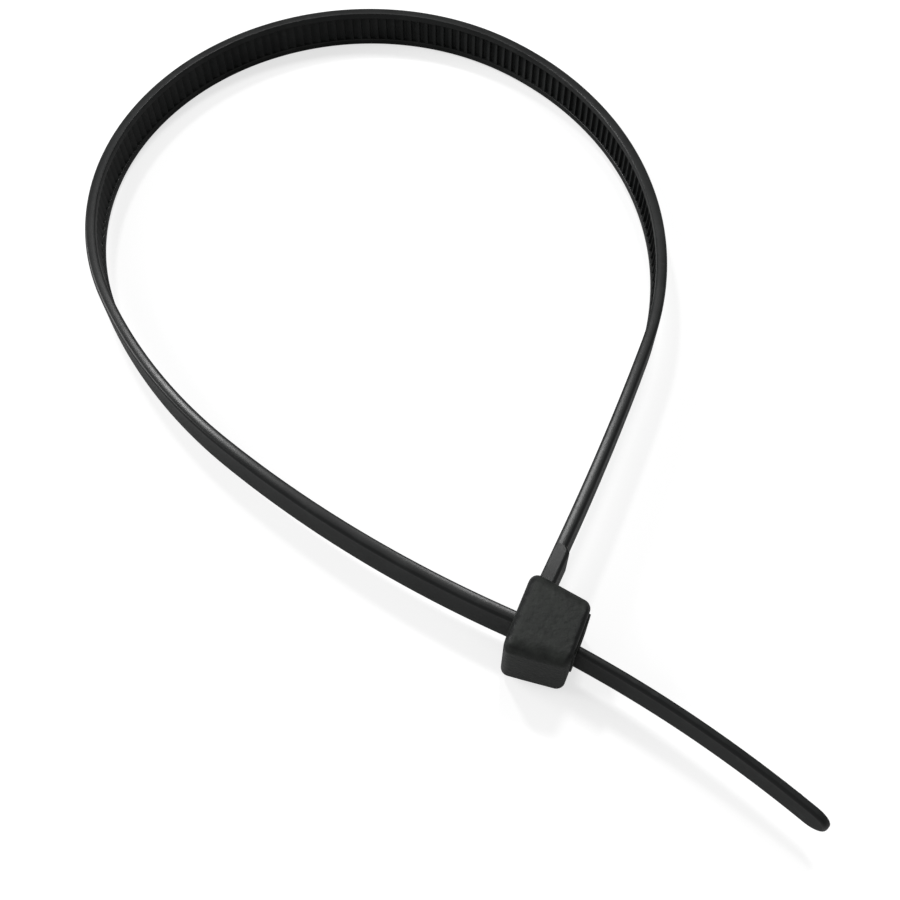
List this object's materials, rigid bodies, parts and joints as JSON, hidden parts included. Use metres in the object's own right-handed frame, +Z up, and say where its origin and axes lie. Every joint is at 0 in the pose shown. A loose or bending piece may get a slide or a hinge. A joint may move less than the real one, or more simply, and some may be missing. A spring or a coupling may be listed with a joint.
{
  "type": "cable tie",
  "caption": "One-piece ratchet cable tie closed into a teardrop loop, its toothed strap pulled through the head and its plain tail standing out beyond it.",
  "frame": {"origin": "middle of the footprint on the table that the tie lies on", "axes": "+Z up from the table, across the strap; +Y along the loop from the head towards the crown; +X towards the side that the tail points to"},
  "size_m": [0.074, 0.1006, 0.0089],
  "materials": {
    "black_nylon": "black moulded nylon, satin on the strap's edges and fine matte on its flat sides"
  },
  "bodies": {
    "root": {"cable_tie": "black_nylon"}
  },
  "joints": []
}
